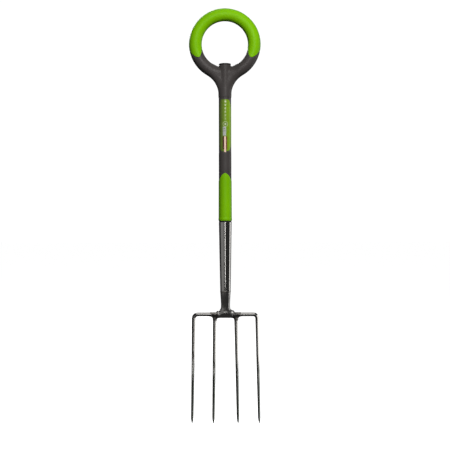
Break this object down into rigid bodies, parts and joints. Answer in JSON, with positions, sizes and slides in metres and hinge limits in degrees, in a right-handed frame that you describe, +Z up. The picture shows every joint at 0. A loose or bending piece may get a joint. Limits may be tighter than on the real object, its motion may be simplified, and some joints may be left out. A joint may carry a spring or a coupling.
{
  "type": "digging fork",
  "caption": "Long-handled garden digging fork with a round ring handle, soft green grips, a tapered steel socket and ridged steel tines.",
  "frame": {"origin": "under the top of the ring, in its middle plane and on the shaft's axis, where a wall peg carries the hanging fork", "axes": "+Z up along the shaft towards the ring handle, +X across the head to the right seen from the front, -Y out of the front (concave) side of the tines"},
  "size_m": [0.1936, 0.0385, 1.1188],
  "materials": {
    "charcoal_resin": "moulded charcoal resin, satin",
    "plug_resin": "moulded resin, darker, satin",
    "green_grip": "soft lime green thermoplastic rubber, satin",
    "label_film": null,
    "seal_rubber": "black soft seal",
    "bush_resin": "moulded bush, plain",
    "core_steel": "drawn carbon steel tube",
    "rivet_steel": "stainless rivet",
    "stainless_steel": "polished and brushed stainless steel",
    "weld_steel": "dressed weld metal"
  },
  "bodies": {
    "root": {"core_tube": "core_steel", "crossbar_weld_left": "weld_steel", "crossbar_weld_right": "weld_steel", "handle_end_plug": "plug_resin", "handle_frame": "charcoal_resin", "head_hub": "stainless_steel", "inner_tine_left": "stainless_steel", "inner_tine_right": "stainless_steel", "lower_grip_sleeve": "green_grip", "outer_tine_left": "stainless_steel", "outer_tine_right": "stainless_steel", "ring_grip": "green_grip", "shaft_casing": "charcoal_resin", "shaft_label": "label_film", "socket_bush": "bush_resin", "socket_rivets": "rivet_steel", "socket_seal_ring": "seal_rubber", "socket_tube": "stainless_steel", "socket_weld": "weld_steel", "tine_weld_left": "weld_steel", "tine_weld_right": "weld_steel"}
  },
  "joints": []
}
